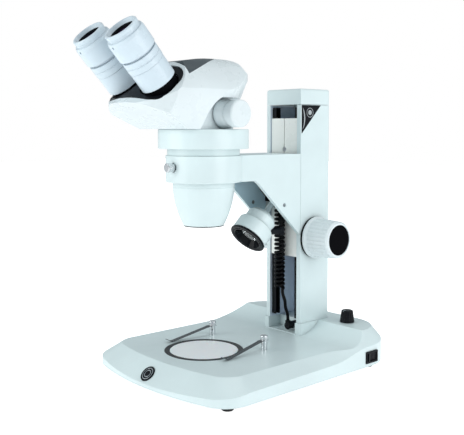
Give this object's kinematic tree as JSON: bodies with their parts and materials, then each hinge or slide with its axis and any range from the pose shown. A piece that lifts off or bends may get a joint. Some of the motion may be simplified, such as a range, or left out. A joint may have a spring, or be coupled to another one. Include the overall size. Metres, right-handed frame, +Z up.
{
  "type": "stereo microscope",
  "caption": "Stereo zoom microscope with inclined eyepieces on a rack-and-pinion column stand, with a flat stage base, a tilting lamp and a curly cord.",
  "frame": {"origin": "middle of the footprint, on the table", "axes": "+Z up, -Y towards the user, +X to the user's right"},
  "size_m": [0.2492, 0.3666, 0.4166],
  "materials": {
    "white_paint": "satin powder coat",
    "white_plastic": "satin moulded",
    "black_plastic": "fine grain",
    "dark_metal": "black anodised look",
    "chrome": "polished",
    "steel": "machined",
    "foot_rubber": "matte",
    "black_ring": "satin",
    "frosted_glass": "frosted",
    "board": "solder mask",
    "brass": "turned",
    "cord": "satin",
    "slide_aluminium": "anodised",
    "grey_plastic": "fine grain",
    "glass": "polished",
    "clear_plastic": "moulded"
  },
  "bodies": {
    "stand": {"base_housing": "white_paint", "base_bottom_plate": "dark_metal", "base_screws": "steel", "rubber_feet": "foot_rubber", "stage_ring": "black_ring", "stage_plate": "frosted_glass", "circuit_boards": "board", "dc_inlet": "black_plastic", "front_badge": "black_plastic", "switch_frame": "black_plastic", "column_shell": "white_paint", "column_cap": "white_paint", "column_badge": "black_plastic", "guide_rails": "dark_metal", "pinion_bushes": "brass", "cord_plug": "black_plastic", "cord_lead": "cord", "coil_cord": "cord"},
    "carriage": {"slide_bar": "slide_aluminium", "rack": "steel", "carriage_screws": "steel", "arm_casting": "white_paint", "arm_liner": "black_plastic", "cord_clip": "black_plastic", "lamp_lead": "cord"},
    "focus_drive": {"pinion_shaft": "steel", "focus_knobs": "white_plastic", "focus_knob_caps": "black_plastic"},
    "tension_ring": {"tension_collar": "dark_metal"},
    "head_clamp": {"clamp_screw": "chrome"},
    "head": {"head_cup": "white_paint", "objective_bezel": "dark_metal", "objective_lenses": "glass", "head_collar": "white_paint", "head_housing": "white_plastic", "top_panel": "grey_plastic", "face_panel": "black_plastic", "ocular_pivots": "steel"},
    "zoom_drive": {"zoom_shaft": "steel", "zoom_knobs": "white_plastic"},
    "ocular_right": {"ocular_tube_right": "white_paint", "prism_box_right": "dark_metal", "eyepiece_right": "white_paint", "eye_lens_right": "glass"},
    "ocular_left": {"ocular_tube_left": "white_paint", "prism_box_left": "dark_metal", "eyepiece_left": "white_paint", "eye_lens_left": "glass"},
    "diopter_right": {"diopter_ring_right": "white_paint"},
    "diopter_left": {"diopter_ring_left": "white_paint"},
    "lamp": {"lamp_housing": "white_paint", "lamp_bezel": "black_plastic", "lamp_lens": "clear_plastic", "lamp_led": "board", "lamp_boot": "black_plastic"},
    "clip_right": {"stage_clip_right": "chrome"},
    "clip_left": {"stage_clip_left": "chrome"},
    "switch": {"switch_rocker": "black_plastic"},
    "dimmer_right": {"dimmer_knob_right": "black_plastic"},
    "dimmer_left": {"dimmer_knob_left": "black_plastic"}
  },
  "joints": [
    {"name": "focus_slide", "type": "slide", "parent": "stand", "child": "carriage", "axis": [0, 0, 1], "range_m": [-0.038, 0.014], "deforming": ["coil_cord"]},
    {"name": "focus_pinion", "type": "hinge", "parent": "stand", "child": "focus_drive", "pos_m": [0, 0.12795, 0.1595], "axis": [1, 0, 0], "range_deg": [-95, 250]},
    {"name": "tension_turn", "type": "hinge", "parent": "stand", "child": "tension_ring", "pos_m": [0, 0.12795, 0.1595], "axis": [1, 0, 0], "range_deg": [-45, 45]},
    {"name": "clamp_turn", "type": "hinge", "parent": "carriage", "child": "head_clamp", "pos_m": [0, -0.07705, 0.2548], "axis": [0, 1, 0], "range_deg": [-180, 0]},
    {"name": "head_turn", "type": "hinge", "parent": "carriage", "child": "head", "pos_m": [0, -0.03205, 0.268], "axis": [0, 0, 1], "range_deg": [-120, 120]},
    {"name": "zoom_turn", "type": "hinge", "parent": "head", "child": "zoom_drive", "pos_m": [0, -0.03205, 0.3165], "axis": [1, 0, 0], "range_deg": [-150, 150]},
    {"name": "ocular_right_swing", "type": "hinge", "parent": "head", "child": "ocular_right", "pos_m": [0.024, -0.03205, 0.333], "axis": [0, 0, 1], "range_deg": [-3.4, 1]},
    {"name": "ocular_left_swing", "type": "hinge", "parent": "head", "child": "ocular_left", "pos_m": [-0.024, -0.03205, 0.333], "axis": [0, 0, 1], "range_deg": [-1, 3.4]},
    {"name": "diopter_right_turn", "type": "hinge", "parent": "ocular_right", "child": "diopter_right", "pos_m": [0.032, -0.14184, 0.37335], "axis": [0, -0.6691, 0.7431], "range_deg": [-150, 150]},
    {"name": "diopter_left_turn", "type": "hinge", "parent": "ocular_left", "child": "diopter_left", "pos_m": [-0.032, -0.14184, 0.37335], "axis": [0, -0.6691, 0.7431], "range_deg": [-150, 150]},
    {"name": "lamp_tilt", "type": "hinge", "parent": "carriage", "child": "lamp", "pos_m": [0, 0.08675, 0.2085], "axis": [1, 0, 0], "range_deg": [-6, 8], "deforming": ["lamp_lead"]},
    {"name": "clip_right_turn", "type": "hinge", "parent": "stand", "child": "clip_right", "pos_m": [0.048, 0.02195, 0.04], "axis": [0, 0, 1], "range_deg": [-30, 85]},
    {"name": "clip_left_turn", "type": "hinge", "parent": "stand", "child": "clip_left", "pos_m": [-0.048, 0.02195, 0.04], "axis": [0, 0, 1], "range_deg": [-85, 30]},
    {"name": "switch_rock", "type": "hinge", "parent": "stand", "child": "switch", "pos_m": [0.1173, 0.13415, 0.0206], "axis": [0, 0, 1], "range_deg": [-16, 0]},
    {"name": "dimmer_right_turn", "type": "hinge", "parent": "stand", "child": "dimmer_right", "pos_m": [0.065, 0.15445, 0.058], "axis": [0, 0, 1], "range_deg": [-135, 135]},
    {"name": "dimmer_left_turn", "type": "hinge", "parent": "stand", "child": "dimmer_left", "pos_m": [-0.065, 0.15445, 0.058], "axis": [0, 0, 1], "range_deg": [-135, 135]}
  ],
  "couplings": [
    {"joint": "focus_pinion", "follows": "focus_slide", "rad_per_m": -111.11},
    {"joint": "ocular_left_swing", "follows": "ocular_right_swing", "ratio": -1}
  ]
}
